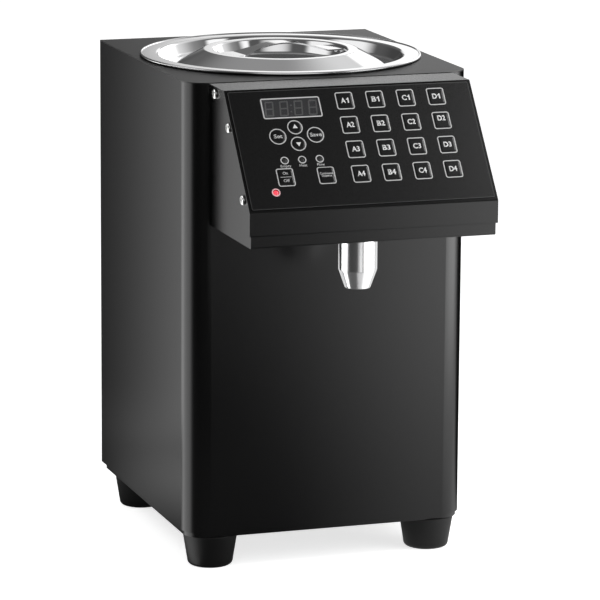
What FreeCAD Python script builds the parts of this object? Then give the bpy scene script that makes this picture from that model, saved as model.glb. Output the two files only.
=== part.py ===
import FreeCAD, Part
import math
import os

from FreeCAD import Vector

# Free-standing syrup dispenser: a sheet-metal cabinet with a lift-off lid over a heated pot, a gear pump
# below the pot, and a control head with a keypad and a spout at the front.
# Millimetres. X is the width, Y the depth with the front towards -Y, Z is up.
# The origin is on the standing surface, at the middle of the width and of the overall depth.

# ---------------------------------------------------------------- driving dimensions

body_width = 272.0
body_depth = 289.0
head_reach = 121.0            # how far the control head stands out in front of the body
body_top = 455.0
wrap_bottom = 35.0
tray_bottom = 30.5
sheet = 1.2                   # cabinet sheet thickness
corner_radius = 22.0          # the two front corners of the body

head_half_width = 117.0
head_top = 454.6
head_top_depth = 45.0
fold_height = 357.0           # where the sloping face meets the vertical band
band_bottom = 336.0
head_bottom = 325.0
lip_inset = 1.5
cover_edge_radius = 1.0       # the band's lower edge is rounded over
cheek_inset = 1.6             # the cover overhangs the cheeks by this much

nozzle_offset = 76.0          # nozzle axis in front of the body
nozzle_radius = 17.5
nozzle_cylinder_bottom = 292.5
nozzle_tip = 275.7
nozzle_tip_radius = 11.5

pot_offset = 145.5            # pot axis behind the body's front face
pot_radius = 118.0            # inside
pot_floor = 242.0
pot_wall = 0.8

lid_radius = 132.8
lid_flange_top = 457.4
lid_crown = 461.3
lid_recess_floor = 448.0
lid_sheet = 0.8
handle_turn = 9.0             # degrees between the handle and the X axis

foot_height = tray_bottom
foot_top_radius = 25.5
foot_bottom_radius = 20.6
foot_x = 107.0
foot_inset_front = 24.6
foot_inset_rear = 40.0
foot_recess_radius = 9.0

key_travel = 0.5
rear_recess = 6.0             # the rear panel lies this far inside the body's rear edge

# ---------------------------------------------------------------- derived places

front = -(body_depth + head_reach) / 2 + head_reach
rear = front + body_depth
head_front = front - head_reach
half_width = body_width / 2
inner_half = half_width - sheet
pot_y = front + pot_offset
nozzle_y = front - nozzle_offset
panel_outer = rear - rear_recess
panel_inner = panel_outer - sheet
top_underside = body_top - sheet
feet_places = [(x, y) for x in (-foot_x, foot_x) for y in (front + foot_inset_front, rear - foot_inset_rear)]

slope_run = head_reach - head_top_depth
slope_drop = head_top - fold_height
slope_length = math.hypot(slope_run, slope_drop)
slope_tilt = math.degrees(math.atan2(slope_drop, slope_run))
slope_origin = Vector(0, front - head_top_depth, head_top)
slope_placement = FreeCAD.Placement(slope_origin, FreeCAD.Rotation(Vector(1, 0, 0), slope_tilt))

# ---------------------------------------------------------------- helpers


def save(name, *solids):
    """Write one node, a single solid or a group of separate solids."""
    shape = solids[0] if len(solids) == 1 else Part.makeCompound(list(solids))
    shape.exportStep("parts/" + name + ".step")
    box = shape.BoundBox
    print("%-18s solids %2d  volume %10.1f  valid %s  y %7.1f..%6.1f  z %6.1f..%6.1f" % (
        name, len(shape.Solids), shape.Volume, shape.isValid(), box.YMin, box.YMax, box.ZMin, box.ZMax))


def block(x0, x1, y0, y1, z0, z1):
    return Part.makeBox(x1 - x0, y1 - y0, z1 - z0, Vector(x0, y0, z0))


def rod(radius, start, end):
    axis = end.sub(start)
    return Part.makeCylinder(radius, axis.Length, start, axis)


def pipe(outer, inner, start, end):
    return rod(outer, start, end).cut(rod(inner, start, end))


def cone(radius_start, radius_end, start, end):
    axis = end.sub(start)
    return Part.makeCone(radius_start, radius_end, axis.Length, start, axis)


def join(solids):
    result = solids[0]
    for solid in solids[1:]:
        result = result.fuse(solid)
    return result.removeSplitter()


def mirrored(shape):
    """The same shape on the other side of the X = 0 plane."""
    return shape.mirror(Vector(0, 0, 0), Vector(1, 0, 0))


def rounded_edges(points, radii):
    """Straight edges through the points, with a tangent arc at each point that has a radius."""
    closed = len(radii) == len(points)
    count = len(points)
    starts, ends, arcs = list(points), list(points), [None] * count
    for i in range(count):
        radius = radii[i] if closed else (radii[i - 1] if 0 < i < count - 1 else 0)
        if radius <= 0:
            continue
        here = points[i]
        back = points[i - 1].sub(here).normalize()
        ahead = points[(i + 1) % count].sub(here).normalize()
        half = back.getAngle(ahead) / 2
        reach = radius / math.tan(half)
        ends[i] = here.add(back * reach)
        starts[i] = here.add(ahead * reach)
        inward = back.add(ahead).normalize()
        middle = here.add(inward * (radius / math.sin(half) - radius))
        arcs[i] = Part.Arc(ends[i], middle, starts[i]).toShape()
    edges = []
    for i in range(count):
        if arcs[i] is not None:
            edges.append(arcs[i])
        if i == count - 1 and not closed:
            break
        begin, finish = starts[i], ends[(i + 1) % count]
        if begin.sub(finish).Length > 1e-6:
            edges.append(Part.LineSegment(begin, finish).toShape())
    return edges


def outline(points, radii, place):
    """A face from a closed outline of (a, b) points, with a corner radius for each."""
    return Part.Face(Part.Wire(rounded_edges([place(a, b) for a, b in points], radii)))


def offset_points(points, distance):
    """The polyline moved sideways, to the left of its direction, with mitred corners."""
    moved = []
    for i, (a, b) in enumerate(points):
        normals = []
        for j in (i - 1, i):
            if 0 <= j < len(points) - 1:
                da = points[j + 1][0] - points[j][0]
                db = points[j + 1][1] - points[j][1]
                length = math.hypot(da, db)
                normals.append((-db / length, da / length))
        na = sum(n[0] for n in normals) / len(normals)
        nb = sum(n[1] for n in normals) / len(normals)
        scale = distance / (na * na + nb * nb)
        moved.append((a + na * scale, b + nb * scale))
    return moved


def sheet_face(points, radii, thickness, place):
    """The section of a bent sheet. Its thickness lies to the left of the points' direction."""
    other = offset_points(points, thickness)
    other_radii = []
    for i, radius in enumerate(radii):
        (a0, b0), (a1, b1), (a2, b2) = points[i:i + 3]
        left_turn = (a1 - a0) * (b2 - b1) - (b1 - b0) * (a2 - a1) > 0
        other_radii.append(max(radius + (-thickness if left_turn else thickness), 0) if radius else 0)
    first = rounded_edges([place(a, b) for a, b in points], radii)
    second = rounded_edges([place(a, b) for a, b in other], other_radii)
    closing = [Part.LineSegment(place(*points[0]), place(*other[0])).toShape(),
               Part.LineSegment(place(*points[-1]), place(*other[-1])).toShape()]
    return Part.Face(Part.Wire(Part.__sortEdges__(first + second + closing)))


def flat(a, b):
    return Vector(a, b, 0)


def side(a, b):
    return Vector(0, a, b)


def radial(a, b):
    return Vector(a, 0, b)


def spun(face, x, y):
    """A face drawn as (radius, height), turned once about the vertical axis at x, y."""
    solid = face.revolve(Vector(0, 0, 0), Vector(0, 0, 1), 360)
    solid.translate(Vector(x, y, 0))
    return solid


def turned(points, radii, x, y):
    return spun(outline(points, radii, radial), x, y)


def rounded_face(x, y, width, height, radius, z):
    w, h = width / 2, height / 2
    face = outline([(x - w, y - h), (x + w, y - h), (x + w, y + h), (x - w, y + h)], [radius] * 4, flat)
    face.translate(Vector(0, 0, z))
    return face


def rounded_block(x, y, width, height, radius, z0, z1):
    return rounded_face(x, y, width, height, radius, z0).extrude(Vector(0, 0, z1 - z0))


def hose(points, outer, inner):
    """A round tube along straight runs joined by tangent arcs, each arc as large as its runs allow."""
    vectors = [Vector(*point) for point in points]
    radii = []
    for i in range(1, len(vectors) - 1):
        back = vectors[i - 1].sub(vectors[i])
        ahead = vectors[i + 1].sub(vectors[i])
        turn = math.pi - back.getAngle(ahead)
        radii.append(0.45 * min(back.Length, ahead.Length) / math.tan(turn / 2))
    path = Part.Wire(rounded_edges(vectors, radii))
    heading = vectors[1].sub(vectors[0])

    def swept(radius):
        section = Part.Wire(Part.Circle(vectors[0], heading, radius).toShape())
        return path.makePipeShell([section], True, True)

    print("  hose radii " + ", ".join("%.0f" % radius for radius in radii), "length %.0f" % path.Length)
    tube = swept(outer)
    return tube.cut(swept(inner)) if inner else tube


# ---------------------------------------------------------------- fasteners

screw_radius = 2.5
screw_hole = 2.6
screw_head_radius = 4.75
screw_head_height = 2.6


def pan_head_screw(seat, outward, length):
    """A cross-recessed pan-head screw whose head sits on the seat, seen from outward."""
    h = screw_head_height
    r = screw_head_radius
    head = turned([(0, 0), (r, 0), (r, h), (0, h)], [0, 0.3, 1.7, 0], 0, 0)
    shank = rod(screw_radius, Vector(0, 0, 0), Vector(0, 0, -length))
    slot = block(-2.4, 2.4, -0.45, 0.45, h - 1.3, h + 1)
    crossed = slot.fuse(block(-0.45, 0.45, -2.4, 2.4, h - 1.3, h + 1))
    screw = head.fuse(shank).cut(crossed)
    screw.Placement = FreeCAD.Placement(seat, FreeCAD.Rotation(Vector(0, 0, 1), outward))
    return screw


cheek_screw_places = [(front - 16.8, 447.5), (front - 56.8, 423.0), (front - 98.7, 365.3)]
rear_screw_places = [(x, z) for x in (-127.0, 127.0) for z in (50.0, 180.0, 310.0, 430.0)]
cheek_outer = head_half_width - cheek_inset
foot_seat = 18.0              # the ledge inside a foot that its screw head pulls on


def make_screws():
    screws = []
    for y, z in cheek_screw_places:
        screws.append(pan_head_screw(Vector(cheek_outer, y, z), Vector(1, 0, 0), 8))
        screws.append(pan_head_screw(Vector(-cheek_outer, y, z), Vector(-1, 0, 0), 8))
    for x, z in rear_screw_places:
        screws.append(pan_head_screw(Vector(x, panel_outer, z), Vector(0, 1, 0), 8))
    for x, y in feet_places:
        screws.append(pan_head_screw(Vector(x, y, foot_seat), Vector(0, 0, -1), 18))
    save("housing_screws", *screws)


# ---------------------------------------------------------------- cabinet

return_flange = 14.0
front_cutout_half = 108.0
front_cutout_bottom = 332.0
front_cutout_top = 440.0


def make_body_wrap():
    """Front and sides bent from one sheet, with inward flanges at the rear for the rear panel."""
    bend = [(-half_width, rear), (-half_width, front), (half_width, front), (half_width, rear)]
    walls = sheet_face(bend, [corner_radius] * 2, sheet, flat).extrude(Vector(0, 0, top_underside - wrap_bottom))
    walls.translate(Vector(0, 0, wrap_bottom))
    flange = block(inner_half - return_flange, inner_half, panel_inner - sheet, panel_inner, wrap_bottom + 1, 443)
    wrap = join([walls, flange, mirrored(flange)])
    wrap = wrap.cut(block(-front_cutout_half, front_cutout_half, front - 5, front + 5,
                          front_cutout_bottom, front_cutout_top))
    for x, z in rear_screw_places:
        wrap = wrap.cut(rod(screw_hole, Vector(x, panel_inner - 5, z), Vector(x, panel_inner + 1, z)))
    save("body_wrap", wrap)


def make_top_plate():
    """Flat top with a hole for the pot and a lip turned down inside the body."""
    def slab(inset, z0, z1, back):
        x = half_width - inset
        y = front + inset
        r = corner_radius - inset
        solid = outline([(-x, y), (x, y), (x, back), (-x, back)], [r, r, 0, 0], flat).extrude(Vector(0, 0, z1 - z0))
        solid.translate(Vector(0, 0, z0))
        return solid

    lip_outer = sheet + 0.3
    lip_inner = lip_outer + sheet
    lip_back = panel_inner - 0.3
    lip_bottom = 445.0
    plate = slab(0, top_underside, body_top, rear)
    lip = slab(lip_outer, lip_bottom, top_underside, lip_back)
    lip = lip.cut(slab(lip_inner, lip_bottom - 1, top_underside + 1, lip_back - sheet))
    hole = rod(pot_radius + 2.0, Vector(0, pot_y, 400), Vector(0, pot_y, 500))
    save("top_plate", join([plate, lip]).cut(hole))


def make_base_tray():
    """Pan that closes the body from below and carries the feet, the pump and the supply."""
    x = half_width - 2.0
    y0 = front + 2.0
    y1 = panel_inner - sheet - 0.3
    top = 55.0

    def pan(inset, z0):
        r = corner_radius - 2.0 - inset
        corners = [(-x + inset, y0 + inset), (x - inset, y0 + inset), (x - inset, y1 - inset), (-x + inset, y1 - inset)]
        solid = outline(corners, [r, r, 2.0, 2.0], flat).extrude(Vector(0, 0, top - z0))
        solid.translate(Vector(0, 0, z0))
        return solid

    tray = pan(0, tray_bottom).cut(pan(sheet, tray_bottom + sheet))
    for x, z in rear_screw_places:
        tray = tray.cut(rod(screw_hole, Vector(x, panel_inner - 12, z), Vector(x, panel_inner, z)))
    for fx, fy in feet_places:
        tray = tray.fuse(rod(6.0, Vector(fx, fy, tray_bottom + sheet), Vector(fx, fy, tray_bottom + 7)))
        tray = tray.cut(rod(screw_hole, Vector(fx, fy, tray_bottom - 1), Vector(fx, fy, tray_bottom + 8)))
    for vent in range(7):
        vy = front + 95 + vent * 11
        tray = tray.cut(rounded_block(-60, vy, 60, 4, 1.9, tray_bottom - 1, tray_bottom + 3))
    save("base_tray", tray.removeSplitter())


def make_feet():
    """Four moulded rubber feet, each hollowed from below for its screw."""
    feet = []
    for x, y in feet_places:
        foot = turned([(0, 0), (foot_bottom_radius, 0), (foot_top_radius, foot_height), (0, foot_height)],
                      [0, 4.0, 0.6, 0], x, y)
        foot = foot.cut(rod(foot_recess_radius, Vector(x, y, -1), Vector(x, y, foot_seat)))
        foot = foot.cut(rod(screw_hole, Vector(x, y, 0), Vector(x, y, foot_height + 1)))
        feet.append(foot)
    save("rubber_feet", *feet)


rocker_tilt = 9.0             # the rocker swings this far each side of level
rocker_wall = 1.5
inlet_x, inlet_z = 70.0, 115.0
inlet_width, inlet_height = 27.0, 20.0
switch_x, switch_z = 30.0, 115.0
switch_width, switch_height = 13.0, 19.0


def on_rear(shape, x, z):
    """Place a shape drawn in plan about the origin, with z outwards, on the rear panel."""
    turn = FreeCAD.Rotation(Vector(0, 1, 1), 180)
    shape.Placement = FreeCAD.Placement(Vector(x, panel_outer, z), turn).multiply(shape.Placement)
    return shape


def make_rear_panel():
    """Flat rear panel with cooling slots and the cutouts for the power inlet and the switch."""
    x = inner_half - 0.4
    panel = block(-x, x, panel_inner, panel_outer, wrap_bottom + 1, top_underside - 0.3)
    for cx, cz, w, h in ((inlet_x, inlet_z, inlet_width, inlet_height), (switch_x, switch_z, switch_width, switch_height)):
        panel = panel.cut(block(cx - w / 2, cx + w / 2, panel_inner - 1, panel_outer + 1, cz - h / 2, cz + h / 2))
    for column in (-78.0, 0.0, 78.0):
        for row in range(8):
            slot = rounded_block(0, 0, 52, 3.6, 1.75, -5, 5)
            panel = panel.cut(on_rear(slot, column, 170 + row * 9))
    for sx, sz in rear_screw_places:
        panel = panel.cut(rod(screw_hole, Vector(sx, panel_inner - 1, sz), Vector(sx, panel_outer + 1, sz)))
    save("rear_panel", panel)


# ---------------------------------------------------------------- control head, sheet metal

head_profile = [(front, head_top), (front - head_top_depth, head_top), (head_front, fold_height),
                (head_front, band_bottom)]


def along_x(face, x0, x1):
    solid = face.extrude(Vector(x1 - x0, 0, 0))
    solid.translate(Vector(x0, 0, 0))
    return solid


def make_head_housing():
    """Cheeks, underside and front lip of the head, open at the back and under the cover."""
    inner = offset_points(head_profile, sheet + 0.1)
    lip_front = head_front + lip_inset
    cheek_corner = inner[2][1] + (lip_front - inner[2][0]) * slope_drop / slope_run
    cheek_points = [(front, head_bottom), (lip_front, head_bottom), (lip_front, cheek_corner), inner[1],
                    (front, inner[0][1])]
    cheek = along_x(outline(cheek_points, [0, 1.5, 1.0, 1.0, 0], side), cheek_outer - sheet, cheek_outer)
    for y, z in cheek_screw_places:
        cheek = cheek.cut(rod(screw_hole, Vector(100, y, z), Vector(120, y, z)))
    rear_flange = block(front_cutout_half + 0.5, cheek_outer, front - sheet, front, head_bottom, 450)
    trough = sheet_face([(front, head_bottom), (lip_front, head_bottom), (lip_front, 348)], [1.5], -sheet, side)
    floor = along_x(trough, -cheek_outer, cheek_outer)
    boss = rod(15.0, Vector(0, nozzle_y, head_bottom + sheet), Vector(0, nozzle_y, head_bottom + 7))
    housing = join([floor, cheek, mirrored(cheek), rear_flange, mirrored(rear_flange), boss])
    housing = housing.cut(rod(10.6, Vector(0, nozzle_y, head_bottom - 1), Vector(0, nozzle_y, head_bottom + 8)))
    save("head_housing", housing)


# Places on the sloping face are (across, down) from the middle of its top edge.
grid_columns = [-6.5, 22.6, 51.8, 80.9]
grid_rows = [15.9, 40.6, 65.4, 90.2]
grid_key = (14.3, 15.1)
function_key = (13.6, 15.4)
round_keys = {"set": (-76.2, 48.9, 13.4), "save": (-40.9, 48.9, 13.4),
              "up": (-58.5, 40.4, 12.0), "down": (-58.5, 57.1, 12.0)}
square_keys = {"power": (-77.0, 89.9), "continuous": (-38.9, 89.9)}
lamp_places = [(-74.7, 73.1), (-58.3, 73.1), (-41.9, 73.1), (-88.9, 104.3)]
window_centre = (-57.8, 20.5)
window_size = (53.2, 18.4)
stud_places = [(-96.0, 9.0), (96.5, 9.0), (-96.0, 100.0), (96.5, 100.0), (-23.0, 60.0), (-23.0, 104.0)]

overlay_thickness = 0.5
key_stand = 0.6               # how far a key stands above the overlay
key_gap = 0.3
key_pillow = [(0, 0.42), (0.4, 0.2), (0.9, 0.06), (1.4, 0)]    # (distance in from a key's rim, drop there)
key_flange_top = -sheet - 0.1
key_flange_bottom = -2.4
board_top = -8.0
board_thickness = 1.6
plunger_top = key_flange_bottom - key_travel - 0.1


def on_slope(shape):
    """Move a shape from the sloping face's own frame, with z outwards and y up the slope, to the head."""
    shape.Placement = slope_placement.multiply(shape.Placement)
    return shape


def key_list():
    """Each key as (name, across, down, width, height, corner radius)."""
    keys = []
    for column, across in enumerate(grid_columns):
        for row, down in enumerate(grid_rows):
            keys.append(("abcd"[column] + str(row + 1), across, down, grid_key[0], grid_key[1], 1.8))
    for name, (across, down) in square_keys.items():
        keys.append((name, across, down, function_key[0], function_key[1], 1.8))
    for name, (across, down, size) in round_keys.items():
        keys.append((name, across, down, size, size, size / 2 - 0.01))
    return keys


def key_openings(z0, z1):
    cutters = [rounded_block(across, -down, width + 2 * key_gap, height + 2 * key_gap, radius + key_gap, z0, z1)
               for name, across, down, width, height, radius in key_list()]
    cutters += [rod(2.8, Vector(across, -down, z0), Vector(across, -down, z1)) for across, down in lamp_places]
    cutters.append(rounded_block(window_centre[0], -window_centre[1], window_size[0] + 0.2, window_size[1] + 0.2,
                                 1.3, z0, z1))
    return cutters


def make_head_cover():
    """Top strip, sloping face and band bent from one sheet, with flanges inside the cheeks for its screws."""
    skin = along_x(sheet_face(head_profile, [1.8, 1.8], sheet, side), -head_half_width, head_half_width)
    lower_edge = [edge for edge in skin.Edges
                  if abs(edge.BoundBox.YMax - head_front) < 1e-6 and abs(edge.BoundBox.ZMax - band_bottom) < 1e-6]
    skin = skin.makeFillet(cover_edge_radius, lower_edge)
    skin = skin.cut(Part.makeCompound([on_slope(cutter) for cutter in key_openings(-sheet - 1, 1)]))
    flange_points = offset_points(head_profile[:3], sheet / 2)
    flange_points[0] = (front - 3.0, flange_points[0][1])
    flange_points[2] = (flange_points[2][0] + 8.0 * slope_run / slope_length,
                        flange_points[2][1] + 8.0 * slope_drop / slope_length)
    flange_face = sheet_face(flange_points, [0], 17.0, side)
    flange_outer = cheek_outer - sheet - 0.1
    flange = along_x(flange_face, flange_outer - sheet, flange_outer)
    for y, z in cheek_screw_places:
        flange = flange.cut(rod(screw_hole, Vector(100, y, z), Vector(120, y, z)))
    studs = []
    for across, down in stud_places:
        studs.append(on_slope(rod(2.5, Vector(across, -down, board_top), Vector(across, -down, -sheet / 2))))
        studs.append(on_slope(rod(1.4, Vector(across, -down, board_top - 3), Vector(across, -down, board_top))))
    save("head_cover", join([skin, flange, mirrored(flange)] + studs))


def make_overlay():
    """Printed film stuck on the sloping face, with openings for the keys, lamps and window."""
    top, bottom = 2.2, 120.6
    film = rounded_block(0, -(top + bottom) / 2, 228.6, bottom - top, 1.5, 0, overlay_thickness)
    film = film.cut(Part.makeCompound(key_openings(-1, 1)))
    save("keypad_overlay", on_slope(film))


def make_keys():
    """Each key is a cap with a domed rim that passes through the film and the cover, and a flange behind them."""
    cap_top = overlay_thickness + key_stand
    flange = 1.0
    for name, across, down, width, height, radius in key_list():
        rings = [rounded_face(0, 0, width - 2 * inset, height - 2 * inset, radius - inset, cap_top - drop).OuterWire
                 for inset, drop in key_pillow]
        dome = Part.makeLoft(rings, True, True)
        stem = rounded_block(0, 0, width, height, radius, key_flange_bottom, cap_top - key_pillow[0][1])
        skirt = rounded_block(0, 0, width + 2 * flange, height + 2 * flange, radius + flange,
                              key_flange_bottom, key_flange_top)
        key = join([stem, dome, skirt])
        key.translate(Vector(across, -down, 0))
        save("key_" + name, on_slope(key))


def make_board():
    """Circuit board on the cover's studs, with a tactile switch behind each key."""
    board = block(-99, 99.5, -107, -5, board_top - board_thickness, board_top)
    for across, down in stud_places:
        board = board.cut(rod(1.5, Vector(across, -down, board_top - 3), Vector(across, -down, board_top + 1)))
    save("control_board", on_slope(board))

    switches = []
    for name, across, down, width, height, radius in key_list():
        case = block(-3, 3, -3, 3, board_top, board_top + 3.5)
        switch = case.fuse(rod(1.7, Vector(0, 0, board_top + 3.5), Vector(0, 0, plunger_top)))
        switch.translate(Vector(across, -down, 0))
        switches.append(on_slope(switch))
    save("key_switches", *switches)


def make_display():
    """Smoked window flush with the film, and the four-digit module on the board behind it."""
    x, y = window_centre[0], -window_centre[1]
    window = rounded_block(x, y, window_size[0], window_size[1], 1.2, -sheet, overlay_thickness)
    save("display_window", on_slope(window))
    module = block(x - 25.1, x + 25.1, y - 9.0, y + 9.0, board_top, -sheet - 0.3)
    save("display_module", on_slope(module))


def make_lamps():
    """Three status lamps in a row and the power lamp, each a 5 mm domed lens standing on the board."""
    lamps = []
    for across, down in lamp_places:
        profile = [(0, board_top), (2.45, board_top), (2.45, 0.7), (0, 0.7)]
        lamp = turned(profile, [0, 0, 1.4, 0], across, -down)
        lamps.append(on_slope(lamp))
    save("indicator_leds", *lamps)


# ---------------------------------------------------------------- spout

elbow_z = 362.0
elbow_reach = 34.0
hose_outer = 6.5
hose_inner = 4.5
barb_length = 16.0


def barb(start, direction, length):
    """A hose tail with a plain bore, as long as the hose that covers it."""
    end = start.add(Vector(direction).normalize() * length)
    return pipe(hose_inner, 3.2, start, end)


def make_spout():
    """Polished nozzle threaded into the head, its barbed elbow with the valve seat, and the sprung poppet."""
    y = nozzle_y
    r = nozzle_radius
    thread_top = head_bottom + 15.0
    chamber_floor = 292.0
    seat = 318.0
    shell = [(0, nozzle_tip), (nozzle_tip_radius, nozzle_tip), (r, nozzle_cylinder_bottom), (r, head_bottom),
             (10.5, head_bottom), (10.5, thread_top), (0, thread_top)]
    nozzle = turned(shell, [0, 0.8, 1.2, 0.3, 0, 0, 0], 0, y)
    nozzle = nozzle.cut(rod(8.0, Vector(0, y, chamber_floor), Vector(0, y, thread_top + 1)))
    nozzle = nozzle.cut(rod(6.0, Vector(0, y, nozzle_tip - 1), Vector(0, y, chamber_floor + 1)))
    nozzle = nozzle.cut(cone(8.6, 6.0, Vector(0, y, nozzle_tip - 0.01), Vector(0, y, nozzle_tip + 4)))
    save("nozzle_body", nozzle)

    spigot = rod(7.95, Vector(0, y, seat), Vector(0, y, thread_top))
    collar = rod(14.0, Vector(0, y, thread_top), Vector(0, y, thread_top + 6))
    neck = rod(7.0, Vector(0, y, thread_top), Vector(0, y, elbow_z + 7))
    arm = rod(6.0, Vector(0, y, elbow_z), Vector(-elbow_reach + barb_length, y, elbow_z))
    body = join([spigot, collar, neck, arm])
    body = body.cut(rod(4.2, Vector(0, y, seat - 1), Vector(0, y, elbow_z + 4.2)))
    body = body.cut(rod(3.2, Vector(0, y, elbow_z), Vector(-elbow_reach, y, elbow_z)))
    tail = barb(Vector(-elbow_reach + barb_length, y, elbow_z), Vector(-1, 0, 0), barb_length)
    save("nozzle_fitting", join([body, tail]))

    head_low = seat - 4.0
    poppet = turned([(0, seat - 0.05), (5.2, seat - 0.05), (6.8, head_low + 1.5), (6.8, head_low), (2.0, head_low),
                     (2.0, head_low - 13), (0, head_low - 13)], [0] * 7, 0, y)
    save("valve_poppet", poppet)

    wire = 0.5
    coil_radius = 6.5
    pitch = 4.0
    low, high = chamber_floor + wire, head_low - wire
    steps = 84
    turns = [2 * math.pi * (high - low) / pitch * i / steps for i in range(steps + 1)]
    coil = Part.BSplineCurve()
    coil.interpolate([Vector(coil_radius * math.cos(a), coil_radius * math.sin(a), pitch * a / (2 * math.pi))
                      for a in turns])
    section = Part.Wire(Part.Circle(coil.value(0), coil.tangent(0)[0], wire).toShape())
    spring = Part.Wire(coil.toShape()).makePipeShell([section], True, False)
    spring.translate(Vector(0, y, low))
    save("valve_spring", spring)


# ---------------------------------------------------------------- pot and lid


def make_pot():
    """Seamless pot hung in the top plate by its rim, with its heater, jacket, outlet and probe."""
    outlet_hole = 9.1
    probe_x = 45.0
    rim_top = lid_flange_top - lid_sheet - 0.05
    wall_top = rim_top - 1.5
    profile = [(outlet_hole, pot_floor), (pot_radius, pot_floor), (pot_radius, rim_top)]
    shell = spun(sheet_face(profile, [8.0], -pot_wall, radial), 0, pot_y)
    rim_radius = pot_radius + 9.5
    rim = turned([(pot_radius + 0.4, body_top), (rim_radius, body_top), (rim_radius, rim_top),
                  (pot_radius + 0.4, rim_top)], [0, 0.7, 0.7, 0], 0, pot_y)
    pot = join([shell, rim])
    pot = pot.cut(rod(4.1, Vector(probe_x, pot_y, pot_floor - 5), Vector(probe_x, pot_y, pot_floor + 5)))
    print("  pot litres %.2f" % (math.pi * pot_radius ** 2 * (wall_top - pot_floor) / 1e6))
    save("syrup_pot", pot)

    outer = pot_radius + pot_wall
    band = pipe(outer + 2.2, outer + 0.1, Vector(0, pot_y, 262), Vector(0, pot_y, 342))
    band = band.cut(block(-6, 6, pot_y + 100, pot_y + 130, 250, 350))
    save("heater_band", band)

    jacket = pipe(outer + 10.3, outer + 2.4, Vector(0, pot_y, 248), Vector(0, pot_y, 443))
    save("insulation_jacket", jacket)

    probe = rod(4.0, Vector(probe_x, pot_y, 232), Vector(probe_x, pot_y, 266))
    probe = join([probe, rod(8.0, Vector(probe_x, pot_y, 234), Vector(probe_x, pot_y, pot_floor - pot_wall)),
                  rod(6.5, Vector(probe_x, pot_y, pot_floor), Vector(probe_x, pot_y, pot_floor + 3)),
                  rod(2.5, Vector(probe_x, pot_y, 222), Vector(probe_x, pot_y, 233))])
    save("pot_sensor", probe)

    flange = rod(16.0, Vector(0, pot_y, pot_floor), Vector(0, pot_y, pot_floor + 2.5))
    stem = rod(9.0, Vector(0, pot_y, 226), Vector(0, pot_y, pot_floor + 1))
    nut = rod(15.0, Vector(0, pot_y, 233), Vector(0, pot_y, pot_floor - pot_wall))
    outlet = join([flange, stem, nut]).cut(rod(5.0, Vector(0, pot_y, 220), Vector(0, pot_y, 250)))
    outlet = outlet.cut(rod(3.2, Vector(0, pot_y, 200), Vector(0, pot_y, 250)))
    tail = pipe(hose_inner, 3.2, Vector(0, pot_y, 210), Vector(0, pot_y, 228))
    collar = pipe(9.0, 3.2, Vector(0, pot_y, 226), Vector(0, pot_y, 228))
    save("pot_outlet", join([outlet, collar, tail]))


recess_wall_low = (58.0, lid_recess_floor)
recess_wall_high = (63.5, lid_crown)


def make_lid():
    """Pressed lid: flat rim with a rolled edge, a deep groove, a cone up to a crown, and a round recess."""
    groove = 445.6
    profile = [(0, lid_recess_floor), recess_wall_low, recess_wall_high, (72.5, lid_crown), (104.0, groove),
               (110.5, groove), (115.8, lid_flange_top), (lid_radius - 1.3, lid_flange_top)]
    skin = spun(sheet_face(profile, [3.0, 2.0, 4.0, 5.0, 3.0, 3.5], -lid_sheet, radial), 0, pot_y)
    roll = Part.makeTorus(lid_radius - 1.3, 1.3, Vector(0, pot_y, lid_flange_top - 0.5))
    save("lid", join([skin, roll]))

    bend_low = 458.0
    thickness = 1.2
    strap = sheet_face([(-66, bend_low), (-43, bend_low), (0, 470), (43, bend_low), (66, bend_low)],
                       [8.0, 90.0, 8.0], thickness, radial).extrude(Vector(0, 40, 0))
    strap.translate(Vector(0, -20, 0))
    wide, narrow = 14.5, 8.0
    plan = [(-66, -wide), (-45, -wide), (-25, -narrow), (25, -narrow), (45, -wide), (66, -wide),
            (66, wide), (45, wide), (25, narrow), (-25, narrow), (-45, wide), (-66, wide)]
    column = outline(plan, [0, 9, 12, 12, 9, 0, 0, 9, 12, 12, 9, 0], flat).extrude(Vector(0, 0, 40))
    column.translate(Vector(0, 0, 440))
    recess = cone(recess_wall_low[0], recess_wall_high[0], Vector(0, 0, lid_recess_floor), Vector(0, 0, lid_crown))
    space = recess.fuse(rod(recess_wall_high[0], Vector(0, 0, lid_crown), Vector(0, 0, 480)))
    handle = strap.common(column).common(space)
    handle.Placement = FreeCAD.Placement(Vector(0, pot_y, 0), FreeCAD.Rotation(Vector(0, 0, 1), handle_turn))
    save("lid_handle", handle)


# ---------------------------------------------------------------- pump

pump_x = -60.0
pump_front = 12.0
pump_back = 30.0
gear_low_z = 80.0
teeth = 12
gear_module = 2.0
pressure_angle = math.radians(25)
centre_distance = teeth * gear_module + 0.1
gear_high_z = gear_low_z + centre_distance
gear_face = (pump_front + 0.2, pump_front + 12.2)
pump_top = 126.0
port_offset = 20.0
port_y = (pump_front + pump_back) / 2


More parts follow.
